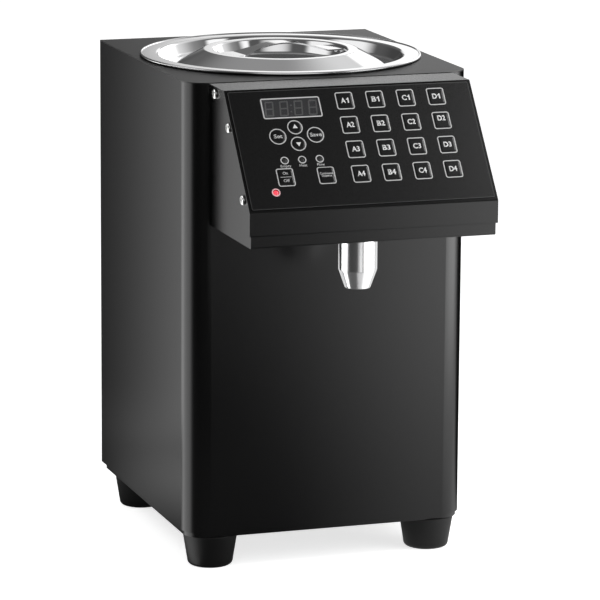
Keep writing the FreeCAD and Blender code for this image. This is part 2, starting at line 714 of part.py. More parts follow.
def gear_outline():
    """Closed outline of one spur gear about the origin, as a face in the plane of a and b."""
    pitch = teeth * gear_module / 2
    base = pitch * math.cos(pressure_angle)
    tip = pitch + 0.8 * gear_module
    root = pitch - 1.05 * gear_module
    thinning = 0.10

    def involute(radius):
        alpha = math.acos(min(1.0, base / radius))
        return math.tan(alpha) - alpha

    half_at_pitch = math.pi / (2 * teeth) - thinning / pitch

    def flank(radius):
        return half_at_pitch + involute(pitch) - involute(radius)

    def at(radius, angle):
        return Vector(radius * math.cos(angle), radius * math.sin(angle), 0)

    steps = 4
    radii = [base + (tip - base) * i / steps for i in range(steps + 1)]
    edges = []
    for tooth in range(teeth):
        middle = 2 * math.pi * tooth / teeth
        rising = [at(r, middle - flank(r)) for r in radii]
        falling = [at(r, middle + flank(r)) for r in reversed(radii)]
        foot_angle = flank(base)
        edges.append(Part.LineSegment(at(root, middle - foot_angle), rising[0]).toShape())
        for line in (rising, falling):
            curve = Part.BSplineCurve()
            curve.interpolate(line)
            edges.append(curve.toShape())
            if line is rising:
                edges.append(Part.Arc(rising[-1], at(tip, middle), falling[0]).toShape())
        edges.append(Part.LineSegment(falling[-1], at(root, middle + foot_angle)).toShape())
        gap = middle + math.pi / teeth
        edges.append(Part.Arc(at(root, middle + foot_angle), at(root, gap),
                              at(root, middle + 2 * math.pi / teeth - foot_angle)).toShape())
    return Part.Face(Part.Wire(edges))


def gear(z, turn, shaft_end):
    """A gear on its shaft, lying along Y at the pump's place."""
    width = gear_face[1] - gear_face[0]
    wheel = gear_outline().extrude(Vector(0, 0, width))
    wheel.rotate(Vector(0, 0, 0), Vector(0, 0, 1), turn)
    wheel.rotate(Vector(0, 0, 0), Vector(1, 0, 0), 90)
    wheel.translate(Vector(pump_x, gear_face[1], z))
    return join([wheel, rod(4.0, Vector(pump_x, pump_front - 3.5, z), Vector(pump_x, shaft_end, z))])


def make_pump():
    """Gear pump: body with a figure-eight chamber, cover, a driven and an idling gear, and the motor behind."""
    save("pump_drive_gear", gear(gear_low_z, 90.0, pump_back + 14))
    save("pump_idler_gear", gear(gear_high_z, 90.0 + 180.0 / teeth, pump_back - 2.5))

    body = block(pump_x - 28, pump_x + 28, pump_front, pump_back, 58, pump_top)
    leg = block(pump_x - 16, pump_x + 16, pump_front, pump_back, tray_bottom + sheet, 58)
    foot = block(pump_x - 30, pump_x + 30, pump_front - 6, pump_back + 10, tray_bottom + sheet, tray_bottom + 6)
    body = join([body, leg, foot])
    chamber = 13.9
    for z in (gear_low_z, gear_high_z):
        body = body.cut(rod(chamber, Vector(pump_x, pump_front - 1, z), Vector(pump_x, gear_face[1] + 0.2, z)))
    body = body.cut(rod(4.05, Vector(pump_x, pump_front, gear_low_z), Vector(pump_x, pump_back + 1, gear_low_z)))
    body = body.cut(rod(4.05, Vector(pump_x, pump_front, gear_high_z), Vector(pump_x, pump_back - 2.2, gear_high_z)))
    mesh_z = (gear_low_z + gear_high_z) / 2
    body = body.cut(rod(3.5, Vector(pump_x - port_offset, port_y, mesh_z), Vector(pump_x + port_offset, port_y, mesh_z)))
    tails = []
    for x in (pump_x - port_offset, pump_x + port_offset):
        body = body.cut(rod(3.2, Vector(x, port_y, mesh_z), Vector(x, port_y, pump_top + 1)))
        tails.append(barb(Vector(x, port_y, pump_top), Vector(0, 0, 1), barb_length + 2))
        tails.append(pipe(8.0, 3.2, Vector(x, port_y, pump_top), Vector(x, port_y, pump_top + 2)))
    save("pump_body", join([body] + tails))

    cover = block(pump_x - 28, pump_x + 28, pump_front - 6, pump_front, 58, pump_top)
    for z in (gear_low_z, gear_high_z):
        cover = cover.cut(rod(4.05, Vector(pump_x, pump_front - 3.8, z), Vector(pump_x, pump_front + 1, z)))
    save("pump_cover", cover)

    gearbox = rod(18.5, Vector(pump_x, pump_back, gear_low_z), Vector(pump_x, pump_back + 24, gear_low_z))
    can = rod(21.0, Vector(pump_x, pump_back + 24, gear_low_z), Vector(pump_x, pump_back + 86, gear_low_z))
    end_cap = rod(8.0, Vector(pump_x, pump_back + 86, gear_low_z), Vector(pump_x, pump_back + 90, gear_low_z))
    motor = join([gearbox, can, end_cap])
    motor = motor.cut(rod(4.05, Vector(pump_x, pump_back - 1, gear_low_z), Vector(pump_x, pump_back + 14.3, gear_low_z)))
    save("pump_motor", motor)


# ---------------------------------------------------------------- hoses and wiring

suction_x = pump_x + port_offset
delivery_x = pump_x - port_offset
corner_x = -102.0
corner_y = front + 26.0


def make_hoses():
    """Suction hose from pot to pump, and delivery hose up the front left corner to the nozzle."""
    barb_base = pump_top + 2
    suction = hose([(0, pot_y, 226), (0, pot_y, 188), (suction_x, port_y, 168), (suction_x, port_y, barb_base)],
                   hose_outer, hose_inner)
    save("suction_hose", suction)
    delivery = hose([(delivery_x, port_y, barb_base), (delivery_x, port_y, 172), (corner_x, corner_y, 215),
                     (corner_x, corner_y, 345), (-96, nozzle_y + 30, elbow_z), (-70, nozzle_y, elbow_z),
                     (-elbow_reach + barb_length, nozzle_y, elbow_z)], hose_outer, hose_inner)
    save("discharge_hose", delivery)

    def clamp(centre, axis):
        half = Vector(axis).normalize() * 4.0
        ring = pipe(hose_outer + 1.0, hose_outer, centre.sub(half), centre.add(half))
        side_way = Vector(0, 1, 0) if abs(axis[0]) < 0.5 else Vector(0, 0, 1)
        ear = centre.add(side_way * (hose_outer + 3.6))
        lug = block(-3, 3, -3, 3, -3, 3)
        lug.translate(ear)
        return ring.fuse(lug)

    up = (0, 0, 1)
    save("hose_clamps",
         clamp(Vector(0, pot_y, 219), up),
         clamp(Vector(suction_x, port_y, barb_base + 8), up),
         clamp(Vector(delivery_x, port_y, barb_base + 8), up),
         clamp(Vector(-elbow_reach + barb_length - 8, nozzle_y, elbow_z), (1, 0, 0)))


supply_x = (-4.0, 93.0)
supply_y = (52.0, 181.0)
supply_top = 63.0


def make_supply():
    """Closed power supply on the tray, and the leads to the board, motor, heater, inlet and switch."""
    case = block(supply_x[0], supply_x[1], supply_y[0], supply_y[1], tray_bottom + sheet, supply_top)
    terminals = block(supply_x[0] + 6, supply_x[1] - 6, supply_y[0] - 12, supply_y[0], tray_bottom + sheet, 48)
    save("power_supply", join([case, terminals]))

    terminal_y = supply_y[0] - 12
    board_back = on_slope(Part.Vertex(60, -70, board_top - board_thickness)).Point
    column = (100, front + 24)
    lead = 2.2
    to_board = hose([(60, terminal_y, 40), (60, terminal_y - 30, 40), (column[0], column[1], 75),
                     (column[0], column[1], 350), (80, nozzle_y + 35, 372), (60, board_back.y + 16, board_back.z - 20),
                     (board_back.x, board_back.y, board_back.z)], lead, 0)
    to_motor = hose([(pump_x, pump_back + 90, gear_low_z), (pump_x, pump_back + 106, gear_low_z),
                     (-10, 110, 50), (supply_x[0], 110, 50)], lead, 0)
    to_inlet = hose([(inlet_x, panel_outer - 20, inlet_z), (inlet_x, panel_outer - 36, inlet_z - 2),
                     (inlet_x, supply_y[1] - 28, 92), (inlet_x, supply_y[1] - 28, supply_top)], lead, 0)
    to_switch = hose([(switch_x, panel_outer - 22, switch_z), (switch_x, panel_outer - 36, switch_z - 2),
                      (switch_x + 8, supply_y[1] - 28, 92), (switch_x + 8, supply_y[1] - 28, supply_top)], lead, 0)
    save("wiring_loom", to_board, to_motor, to_inlet, to_switch)


def make_inlet():
    """Mains inlet with three pins in a deep socket, and the rocker switch beside it."""
    w, h = inlet_width, inlet_height
    inlet = rounded_block(0, 0, w + 4, h + 4, 2.0, 0, 2.5)
    inlet = inlet.fuse(rounded_block(0, 0, w - 0.2, h - 0.2, 2.0, -18.8, 0))
    a, b, slant = 12.2, 8.2, 4.0
    corners = [(-a, -b), (a, -b), (a, b - slant), (a - slant, b), (-a + slant, b), (-a, b - slant)]
    socket = outline(corners, [1.0] * 6, flat).extrude(Vector(0, 0, 20))
    socket.translate(Vector(0, 0, -14.0))
    inlet = inlet.cut(socket)
    for pin_x, pin_y in ((-7.0, -2.0), (7.0, -2.0), (0.0, 2.4)):
        inlet = inlet.fuse(block(pin_x - 1, pin_x + 1, pin_y - 2, pin_y + 2, -15.0, -1.0))
    save("power_inlet", on_rear(inlet.removeSplitter(), inlet_x, inlet_z))

    w, h = switch_width, switch_height
    frame = rounded_block(0, 0, w + 2.0, h + 2.0, 1.0, 0, 2.0)
    frame = frame.fuse(rounded_block(0, 0, w - 0.2, h - 0.2, 0.8, -20.0, 0))
    frame = frame.cut(rounded_block(0, 0, w - 2 * rocker_wall, h - 2 * rocker_wall, 0.6, -12.0, 3))
    save("switch_frame", on_rear(frame.removeSplitter(), switch_x, switch_z))


def make_rocker():
    """Rocker pressed in at its upper end, on a pivot along X inside the frame."""
    half = switch_height / 2 - rocker_wall - 0.9
    pivot_y = panel_outer - 1.5
    drop = half * math.tan(math.radians(rocker_tilt))
    top = 4.6
    low = 5.0
    points = [(-half, top), (0, top - drop), (half, top), (half, -1.0), (half - 3.0, -low), (-half + 3.0, -low),
              (-half, -1.0)]
    half_thickness = switch_width / 2 - rocker_wall - 0.35
    face = outline([(b, a) for a, b in points], [0.8, 6.0, 0.8, 1.0, 1.0, 1.0, 1.0], side)
    rocker = along_x(face, switch_x - half_thickness, switch_x + half_thickness)
    rocker.rotate(Vector(0, 0, 0), Vector(1, 0, 0), rocker_tilt)
    rocker.translate(Vector(0, pivot_y, switch_z))
    save("power_rocker", rocker)


# ---------------------------------------------------------------- build

os.makedirs("parts", exist_ok=True)
make_body_wrap()
make_top_plate()
make_base_tray()
make_feet()
make_rear_panel()
make_screws()
make_head_housing()
make_head_cover()
make_overlay()
make_keys()
make_board()
make_display()
make_lamps()
make_spout()
make_pot()
make_lid()
make_pump()
make_hoses()
make_supply()
make_inlet()
make_rocker()
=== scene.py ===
import math

import bmesh
import bpy
from mathutils import Matrix, Vector


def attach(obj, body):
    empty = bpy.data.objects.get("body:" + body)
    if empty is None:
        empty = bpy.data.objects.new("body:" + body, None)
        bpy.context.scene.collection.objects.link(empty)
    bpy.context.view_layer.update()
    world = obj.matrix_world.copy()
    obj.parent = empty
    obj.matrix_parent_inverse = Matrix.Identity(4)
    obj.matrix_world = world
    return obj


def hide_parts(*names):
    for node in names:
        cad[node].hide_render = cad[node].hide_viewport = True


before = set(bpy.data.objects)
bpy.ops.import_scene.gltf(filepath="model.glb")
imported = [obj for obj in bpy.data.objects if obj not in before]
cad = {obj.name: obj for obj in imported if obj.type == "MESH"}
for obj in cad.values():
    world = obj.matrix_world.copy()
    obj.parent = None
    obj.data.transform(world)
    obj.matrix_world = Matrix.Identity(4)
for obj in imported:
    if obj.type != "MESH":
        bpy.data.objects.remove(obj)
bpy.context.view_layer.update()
scene = bpy.context.scene
mm = 0.001
print("frame loaded,", len(cad), "parts")


# camera, seen from the left and a little above

camera = {
    "place": (-1.1578, -3.3895, 0.9924),
    "yaw": 18.86,
    "pitch": 12.00,
    "roll": 0.39,
    "lens": 233.53,
    "sensor": 36,
    "farthest": 60,
}


def makeCamera():
    yaw, pitch, roll = (math.radians(camera[key]) for key in ("yaw", "pitch", "roll"))
    ahead = Vector((math.sin(yaw) * math.cos(pitch), math.cos(yaw) * math.cos(pitch), -math.sin(pitch)))
    level = Vector((math.cos(yaw), -math.sin(yaw), 0))
    upright = level.cross(ahead)
    right = level * math.cos(roll) + upright * math.sin(roll)
    up = upright * math.cos(roll) - level * math.sin(roll)
    x, y, z = camera["place"]
    data = bpy.data.cameras.new("camera")
    data.lens = camera["lens"]
    data.sensor_width = camera["sensor"]
    data.clip_end = camera["farthest"]
    eye = bpy.data.objects.new("camera", data)
    eye.matrix_world = Matrix((
        (right.x, up.x, -ahead.x, x),
        (right.y, up.y, -ahead.y, y),
        (right.z, up.z, -ahead.z, z),
        (0, 0, 0, 1)))
    scene.collection.objects.link(eye)
    scene.camera = eye


makeCamera()
scene.view_settings.view_transform = "Standard"
print("camera placed")


# shader nodes: each function adds one or a few and gives back what comes out

def addNode(tree, kind, settings, *inputs):  # inputs are (socket name or number, value or socket)
    node = tree.nodes.new(kind)
    for key, value in settings.items():
        setattr(node, key, value)
    for key, value in inputs:
        if isinstance(value, bpy.types.NodeSocket):
            tree.links.new(value, node.inputs[key])
        else:
            node.inputs[key].default_value = value
    return node.outputs


def addMath(tree, operation, *values):
    return addNode(tree, "ShaderNodeMath", {"operation": operation}, *enumerate(values))[0]


def addProduct(tree, value, *factors):
    for factor in factors:
        value = addMath(tree, "MULTIPLY", value, factor)
    return value


def addVectorMath(tree, operation, *values):
    return addNode(tree, "ShaderNodeVectorMath", {"operation": operation}, *enumerate(values))


def addRange(tree, value, low, high):
    return addNode(tree, "ShaderNodeMapRange", {}, ("Value", value), ("To Min", low),
                   ("To Max", high))["Result"]


def addFade(tree, value, span, levels=(0.0, 1.0), kind="SMOOTHSTEP"):
    return addNode(tree, "ShaderNodeMapRange", {"interpolation_type": kind}, ("Value", value),
                   ("From Min", span[0]), ("From Max", span[1]), ("To Min", levels[0]),
                   ("To Max", levels[1]))["Result"]


def addNoise(tree, place, scale, detail):
    return addNode(tree, "ShaderNodeTexNoise", {}, ("Vector", place), ("Scale", scale),
                   ("Detail", detail))["Fac"]


def addBlend(tree, factor, first, second):  # a colour mix has its two colours in sockets 6 and 7
    return addNode(tree, "ShaderNodeMix", {"data_type": "RGBA"}, (0, factor), (6, first), (7, second))[2]


def splitPlace(tree, place):
    return addNode(tree, "ShaderNodeSeparateXYZ", {}, ("Vector", place))


# shader groups that several finishes share

patterns = {
    "grainDetail": 3.0,
    "grainSpan": (0.3, 0.7),
    "tintDetail": 4.0,
    "marksDetail": 2.0,
}
limits = [("Low", "Float"), ("High", "Float")]
textured = [("Value", "Float"), ("Height", "Float")]


def newGroup(name, inputs, outputs):
    tree = bpy.data.node_groups.new(name, "ShaderNodeTree")
    for label, kind in [("Vector", "Vector"), *inputs]:
        tree.interface.new_socket(name=label, in_out="INPUT", socket_type="NodeSocket" + kind)
    for label, kind in outputs:
        tree.interface.new_socket(name=label, in_out="OUTPUT", socket_type="NodeSocket" + kind)
    return tree, tree.nodes.new("NodeGroupInput").outputs, tree.nodes.new("NodeGroupOutput").inputs


def makeGrain():  # fine noise, as in powder coat, moulded plastic and rubber
    tree, given, out = newGroup("grain", [("Scale", "Float"), *limits], textured)
    noise = addNoise(tree, given["Vector"], given["Scale"], patterns["grainDetail"])
    tree.links.new(noise, out["Height"])
    spread = addFade(tree, noise, patterns["grainSpan"], (given["Low"], given["High"]), "LINEAR")
    tree.links.new(spread, out["Value"])
    return tree


def makeTint():  # a colour that drifts slowly between two shades
    tree, given, out = newGroup("tint", [("Scale", "Float"), ("Shade A", "Color"), ("Shade B", "Color")],
                                [("Color", "Color")])
    noise = addNoise(tree, given["Vector"], given["Scale"], patterns["tintDetail"])
    tree.links.new(addBlend(tree, noise, given["Shade A"], given["Shade B"]), out["Color"])
    return tree


def makeRings():  # turning or polishing marks about an upright axis
    tree, given, out = newGroup("rings", [("Axis X", "Float"), ("Axis Y", "Float"), ("Scale", "Float"),
                                          *limits], textured)
    place = splitPlace(tree, given["Vector"])
    dx = addMath(tree, "SUBTRACT", place["X"], given["Axis X"])
    dy = addMath(tree, "SUBTRACT", place["Y"], given["Axis Y"])
    square = addMath(tree, "ADD", addMath(tree, "MULTIPLY", dx, dx), addMath(tree, "MULTIPLY", dy, dy))
    radius = addMath(tree, "SQRT", square)
    turned = addNode(tree, "ShaderNodeCombineXYZ", {}, ("X", radius), ("Y", place["Z"]))[0]
    noise = addNoise(tree, turned, given["Scale"], patterns["marksDetail"])
    tree.links.new(noise, out["Height"])
    tree.links.new(addRange(tree, noise, given["Low"], given["High"]), out["Value"])
    return tree


def makeBrushed():  # straight brushing, long in one direction
    tree, given, out = newGroup("brushed", [("Stretch", "Vector"), *limits], textured)
    drawn = addVectorMath(tree, "MULTIPLY", given["Vector"], given["Stretch"])[0]
    noise = addNoise(tree, drawn, 1.0, patterns["marksDetail"])
    tree.links.new(noise, out["Height"])
    tree.links.new(addRange(tree, noise, given["Low"], given["High"]), out["Value"])
    return tree


def makeZone():  # 1 inside a box, 0 outside
    tree, given, out = newGroup("zone", [("Low", "Vector"), ("High", "Vector")], [("Mask", "Float")])
    here, low, high = (splitPlace(tree, given[key]) for key in ("Vector", "Low", "High"))
    mask = 1.0
    for axis in "XYZ":
        above = addMath(tree, "GREATER_THAN", here[axis], low[axis])
        below = addMath(tree, "LESS_THAN", here[axis], high[axis])
        mask = addMath(tree, "MULTIPLY", mask, addMath(tree, "MULTIPLY", above, below))
    tree.links.new(mask, out["Mask"])
    return tree


groups = {
    "grain": makeGrain(),
    "tint": makeTint(),
    "rings": makeRings(),
    "brushed": makeBrushed(),
    "zone": makeZone(),
}
print("shader groups made:", ", ".join(groups))


# finishes

finishes = {}
potAxis = (0.0, 0.0615)
spoutAxis = (0.0, -0.160)


def shade(rgb):
    return (*rgb, 1)


def newFinish(name, colour, roughness, metallic=0.0):
    material = bpy.data.materials.new(name)
    material.use_nodes = True
    tree = material.node_tree
    inputs = tree.nodes["Principled BSDF"].inputs
    inputs["Base Color"].default_value = shade(colour)
    inputs["Roughness"].default_value = roughness
    inputs["Metallic"].default_value = metallic
    finishes[name] = material
    return tree, inputs, addNode(tree, "ShaderNodeTexCoord", {})["Object"]


def useGroup(tree, group, here, *inputs):
    return addNode(tree, "ShaderNodeGroup", {"node_tree": groups[group]}, ("Vector", here), *inputs)


def useGrain(tree, here, scale, roughness):
    return useGroup(tree, "grain", here, ("Scale", scale), ("Low", roughness[0]), ("High", roughness[1]))


def useZone(tree, here, box):
    return useGroup(tree, "zone", here, ("Low", box[0]), ("High", box[1]))["Mask"]


def addTexture(tree, inputs, texture, strength, depth):
    tree.links.new(texture["Value"], inputs["Roughness"])
    bump = addNode(tree, "ShaderNodeBump", {}, ("Strength", strength), ("Distance", depth),
                   ("Height", texture["Height"]))
    tree.links.new(bump[0], inputs["Normal"])


def addTint(tree, inputs, here, scale, first, second):
    tint = useGroup(tree, "tint", here, ("Scale", scale), ("Shade A", shade(first)),
                    ("Shade B", shade(second)))
    tree.links.new(tint["Color"], inputs["Base Color"])


coats = {  # shades and roughness are two limits each, bump is a strength and a depth in metres
    "powderCoat": {
        "shades": ((0.0016, 0.0016, 0.0017), (0.0024, 0.0024, 0.0025)), "roughness": (0.21, 0.26),
        "grain": 1400.0, "bump": (0.12, 0.00012), "drift": 9.0, "ior": 1.40},
    "plateCoat": {
        "shades": ((0.0016, 0.0016, 0.0017), (0.0024, 0.0024, 0.0025)), "roughness": (0.36, 0.42),
        "grain": 1400.0, "bump": (0.12, 0.00012), "drift": 9.0, "ior": 1.40},
    "footRubber": {
        "shades": ((0.002, 0.002, 0.002), (0.004, 0.004, 0.004)), "roughness": (0.50, 0.62),
        "grain": 900.0, "bump": (0.25, 0.0002), "ior": 1.35},
    "keypadFilm": {
        "shades": ((0.0028, 0.0028, 0.0029), (0.0036, 0.0036, 0.0037)), "roughness": (0.26, 0.31),
        "grain": 2600.0, "bump": (0.08, 0.00005), "drift": 20.0, "ior": 1.42},
    "keyFilm": {
        "shades": ((0.0014, 0.0014, 0.0015), (0.0020, 0.0020, 0.0021)), "roughness": (0.26, 0.31),
        "grain": 2600.0, "bump": (0.08, 0.00005), "drift": 20.0, "ior": 1.42},
    "mouldedBlack": {
        "shades": ((0.014, 0.014, 0.014), (0.02, 0.02, 0.02)), "roughness": (0.42, 0.52),
        "grain": 1100.0, "bump": (0.2, 0.0001)},
    "rockerBlack": {
        "shades": ((0.012, 0.012, 0.012), (0.015, 0.015, 0.015)), "roughness": (0.2, 0.27),
        "grain": 900.0, "bump": (0.05, 0.00005)},
    "displayGrey": {
        "shades": ((0.085, 0.085, 0.090), (0.100, 0.100, 0.105)), "roughness": (0.5, 0.6),
        "grain": 1500.0, "bump": (0.1, 0.00005)},
    "boardGreen": {
        "shades": ((0.010, 0.11, 0.04), (0.014, 0.15, 0.055)), "roughness": (0.3, 0.4),
        "grain": 500.0, "bump": (0.2, 0.0001), "drift": 60.0},
    "heaterSilicone": {
        "shades": ((0.42, 0.09, 0.04), (0.5, 0.12, 0.05)), "roughness": (0.5, 0.6),
        "grain": 700.0, "bump": (0.3, 0.0002)},
    "feltGrey": {
        "shades": ((0.30, 0.30, 0.30), (0.42, 0.42, 0.41)), "roughness": (0.85, 0.95),
        "grain": 500.0, "bump": (0.8, 0.0008), "drift": 90.0},
    "siliconeHose": {
        "shades": ((0.72, 0.71, 0.66), (0.78, 0.77, 0.73)), "roughness": (0.35, 0.45),
        "grain": 400.0, "bump": (0.1, 0.0001)},
    "motorPaint": {
        "shades": ((0.05, 0.05, 0.055), (0.07, 0.07, 0.075)), "roughness": (0.4, 0.5),
        "grain": 800.0, "bump": (0.2, 0.0001)},
    "wireSleeve": {
        "shades": ((0.02, 0.02, 0.02), (0.035, 0.035, 0.035)), "roughness": (0.45, 0.6),
        "grain": 1200.0, "bump": (0.4, 0.0003)},
    "printGrey": {
        "shades": ((0.50, 0.50, 0.50), (0.56, 0.56, 0.56)), "roughness": (0.5, 0.6),
        "grain": 2500.0, "bump": (0.1, 0.00003)},
    "printWhite": {
        "shades": ((0.68, 0.68, 0.68), (0.74, 0.74, 0.74)), "roughness": (0.5, 0.6),
        "grain": 2500.0, "bump": (0.1, 0.00003)},
    # a lighter line round the film: a painted highlight along the film's edge
    "paintedEdgeHighlight": {
        "shades": ((0.030, 0.030, 0.030), (0.036, 0.036, 0.036)), "roughness": (0.4, 0.5),
        "grain": 2500.0, "bump": (0.1, 0.00003)},
    "lampRingInk": {
        "shades": ((0.80, 0.45, 0.47), (0.84, 0.50, 0.52)), "roughness": (0.5, 0.6),
        "grain": 2500.0, "bump": (0.1, 0.00003)},
    "digitGrey": {
        "shades": ((0.27, 0.27, 0.27), (0.31, 0.31, 0.31)), "roughness": (0.5, 0.6),
        "grain": 2500.0, "bump": (0.1, 0.00003)},
}
plainDrift = 14.0


def makeCoat(name, coat):
    tree, inputs, here = newFinish(name, coat["shades"][0], coat["roughness"][0])
    if "ior" in coat:
        inputs["IOR"].default_value = coat["ior"]
    addTint(tree, inputs, here, coat.get("drift", plainDrift), *coat["shades"])
    addTexture(tree, inputs, useGrain(tree, here, coat["grain"], coat["roughness"]), *coat["bump"])


metals = {  # rings go round an axis, and brushing lies along the way with the smallest stretch
    "polishedLid": {
        "colour": (0.80, 0.80, 0.805), "roughness": (0.045, 0.085), "axis": potAxis, "rings": 1500.0,
        "bump": 0.05},
    "polishedSpout": {
        "colour": (0.80, 0.80, 0.805), "roughness": (0.17, 0.23), "axis": spoutAxis, "rings": 2200.0,
        "bump": 0.08},
    "satinPot": {
        "colour": (0.62, 0.62, 0.62), "roughness": (0.22, 0.36), "axis": potAxis, "rings": 2200.0,
        "bump": 0.25},
    "brassFitting": {
        "colour": (0.68, 0.55, 0.30), "roughness": (0.22, 0.34), "axis": spoutAxis, "rings": 2200.0,
        "bump": 0.2},
    "polishedHandle": {
        "colour": (0.80, 0.80, 0.805), "roughness": (0.05, 0.10), "stretch": (60.0, 1800.0, 1800.0),
        "bump": 0.05},
    "satinSteel": {
        "colour": (0.60, 0.60, 0.60), "roughness": (0.25, 0.38), "stretch": (1500.0, 1500.0, 60.0)},
    "screwSteel": {
        "colour": (0.78, 0.78, 0.77), "roughness": (0.18, 0.28), "stretch": (700.0, 700.0, 700.0)},
    "springSteel": {
        "colour": (0.50, 0.50, 0.51), "roughness": (0.25, 0.35), "stretch": (900.0, 900.0, 900.0)},
    "gearSteel": {
        "colour": (0.58, 0.58, 0.58), "roughness": (0.25, 0.35), "stretch": (1500.0, 60.0, 1500.0)},
    "aluminium": {
        "colour": (0.62, 0.62, 0.63), "roughness": (0.30, 0.42), "stretch": (50.0, 1500.0, 1500.0)},
}
turnedLook = {"drift": 18.0, "darker": 0.95, "depth": 0.00004}
brushedLook = {"drift": 30.0, "darker": 0.93, "depth": 0.00005, "bump": 0.15}


def makeMetal(name, metal):
    low, high = metal["roughness"]
    tree, inputs, here = newFinish(name, metal["colour"], low, 1.0)
    if "axis" in metal:
        look = turnedLook
        marks = useGroup(tree, "rings", here, ("Axis X", metal["axis"][0]), ("Axis Y", metal["axis"][1]),
                         ("Scale", metal["rings"]), ("Low", low), ("High", high))
    else:
        look = brushedLook
        marks = useGroup(tree, "brushed", here, ("Stretch", metal["stretch"]), ("Low", low),
                         ("High", high))
    darker = [value * look["darker"] for value in metal["colour"]]
    addTint(tree, inputs, here, look["drift"], metal["colour"], darker)
    addTexture(tree, inputs, marks, metal.get("bump", brushedLook["bump"]), look["depth"])


windowGlass = {"colour": (0.80, 0.80, 0.81), "roughness": (0.02, 0.06), "smears": 60.0, "ior": 1.49}


def makeWindowGlass():
    tree, inputs, here = newFinish("windowGlass", windowGlass["colour"], windowGlass["roughness"][0])
    inputs["IOR"].default_value = windowGlass["ior"]
    inputs["Transmission Weight"].default_value = 1.0
    smear = useGrain(tree, here, windowGlass["smears"], windowGlass["roughness"])
    tree.links.new(smear["Value"], inputs["Roughness"])


lampLens = {
    "litZone": ((-0.093, -1, 0), (-0.084, 1, 1)),
    "body": ((0.030, 0.030, 0.030), (0.75, 0.06, 0.08)),
    "glow": ((0, 0, 0), (1.0, 0.055, 0.085)),
    "strength": 0.9,
    "roughness": (0.15, 0.25),
    "grain": 900.0,
}


def makeLampLens():  # the power lamp glows, the three status lamps are dark
    tree, inputs, here = newFinish("lampLens", lampLens["body"][0], lampLens["roughness"][0])
    lit = useZone(tree, here, lampLens["litZone"])
    for key, (dark, bright) in (("Base Color", lampLens["body"]), ("Emission Color", lampLens["glow"])):
        tree.links.new(addBlend(tree, lit, shade(dark), shade(bright)), inputs[key])
    inputs["Emission Strength"].default_value = lampLens["strength"]
    grain = useGrain(tree, here, lampLens["grain"], lampLens["roughness"])
    tree.links.new(grain["Value"], inputs["Roughness"])


inletMoulding = {
    "pinZone": ((0.0615, 0.1855, 0.1105), (0.0785, 0.21, 0.1198)),
    "plastic": (0.014, 0.014, 0.014),
    "pins": (0.70, 0.66, 0.55),
    "roughness": (0.38, 0.5),
    "grain": 1100.0,
    "bump": (0.15, 0.0001),
}


def makeInletMoulding():  # black moulding with bright pins
    plastic, roughness = inletMoulding["plastic"], inletMoulding["roughness"]
    tree, inputs, here = newFinish("inletMoulding", plastic, roughness[0])
    pins = useZone(tree, here, inletMoulding["pinZone"])
    colour = addBlend(tree, pins, shade(plastic), shade(inletMoulding["pins"]))
    tree.links.new(colour, inputs["Base Color"])
    tree.links.new(pins, inputs["Metallic"])
    grain = useGrain(tree, here, inletMoulding["grain"], roughness)
    addTexture(tree, inputs, grain, *inletMoulding["bump"])


gridKeys = [column + row for column in "abcd" for row in "1234"]
otherKeys = ["set", "save", "up", "down", "power", "continuous"]
dressed = {
    "plateCoat": ["top_plate"],
    "powderCoat": ["body_wrap", "base_tray", "rear_panel", "head_housing", "head_cover"],
    "footRubber": ["rubber_feet"],
    "screwSteel": ["housing_screws"],
    "keypadFilm": ["keypad_overlay"],
    "keyFilm": ["key_" + name for name in gridKeys + otherKeys],
    "windowGlass": ["display_window"],
    "displayGrey": ["display_module"],
    "lampLens": ["indicator_leds"],
    "boardGreen": ["control_board"],
    "mouldedBlack": ["key_switches", "switch_frame"],
    "inletMoulding": ["power_inlet"],
    "rockerBlack": ["power_rocker"],
    "polishedSpout": ["nozzle_body"],
    "polishedLid": ["lid"],
    "polishedHandle": ["lid_handle"],
    "satinPot": ["syrup_pot"],
    "satinSteel": ["valve_poppet", "pot_sensor"],
    "springSteel": ["valve_spring", "hose_clamps"],
    "gearSteel": ["pump_drive_gear", "pump_idler_gear"],
    "brassFitting": ["nozzle_fitting", "pot_outlet"],
    "heaterSilicone": ["heater_band"],
    "feltGrey": ["insulation_jacket"],
    "siliconeHose": ["suction_hose", "discharge_hose"],
    "aluminium": ["pump_body", "pump_cover", "power_supply"],
    "motorPaint": ["pump_motor"],
    "wireSleeve": ["wiring_loom"],
}


def makeFinishes():
    for name, coat in coats.items():
        makeCoat(name, coat)
    for name, metal in metals.items():
        makeMetal(name, metal)
    makeWindowGlass()
    makeLampLens()
    makeInletMoulding()


def dressParts():
    for finish, names in dressed.items():
        for name in names:
            for slot in cad[name].material_slots:
                slot.material = finishes[finish]


makeFinishes()
dressParts()
print("finishes made:", len(bpy.data.materials))


# every piece made here is a mesh that rides on a body

def finishPiece(shape, name, body, finish, smoothAngle=None):
    mesh = bpy.data.meshes.new(name)
    shape.to_mesh(mesh)
    shape.free()
    mesh.materials.append(finishes[finish])
    if smoothAngle:
        mesh.shade_smooth()
        mesh.set_sharp_from_angle(angle=math.radians(smoothAngle))
    piece = bpy.data.objects.new(name, mesh)
    scene.collection.objects.link(piece)
    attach(piece, body)
    return piece


# sloping keypad: places are millimetres across and down from the middle of its top edge

keypad = {
    "origin": (0, -0.129, 0.4546),
    "tilt": math.degrees(math.atan2(97.6, 76.0)),
    "filmTop": 0.5,
    "keyTop": 1.1,
    "ink": 0.04,
    "cornerSteps": 6,
    "discSteps": 48,
    "columns": (-6.5, 22.6, 51.8, 80.9),
    "rows": (15.9, 40.6, 65.4, 90.2),
}
slope = (Matrix.Translation(keypad["origin"]) @ Matrix.Rotation(math.radians(keypad["tilt"]), 4, "X")
         @ Matrix.Diagonal((mm, mm, mm, 1)))


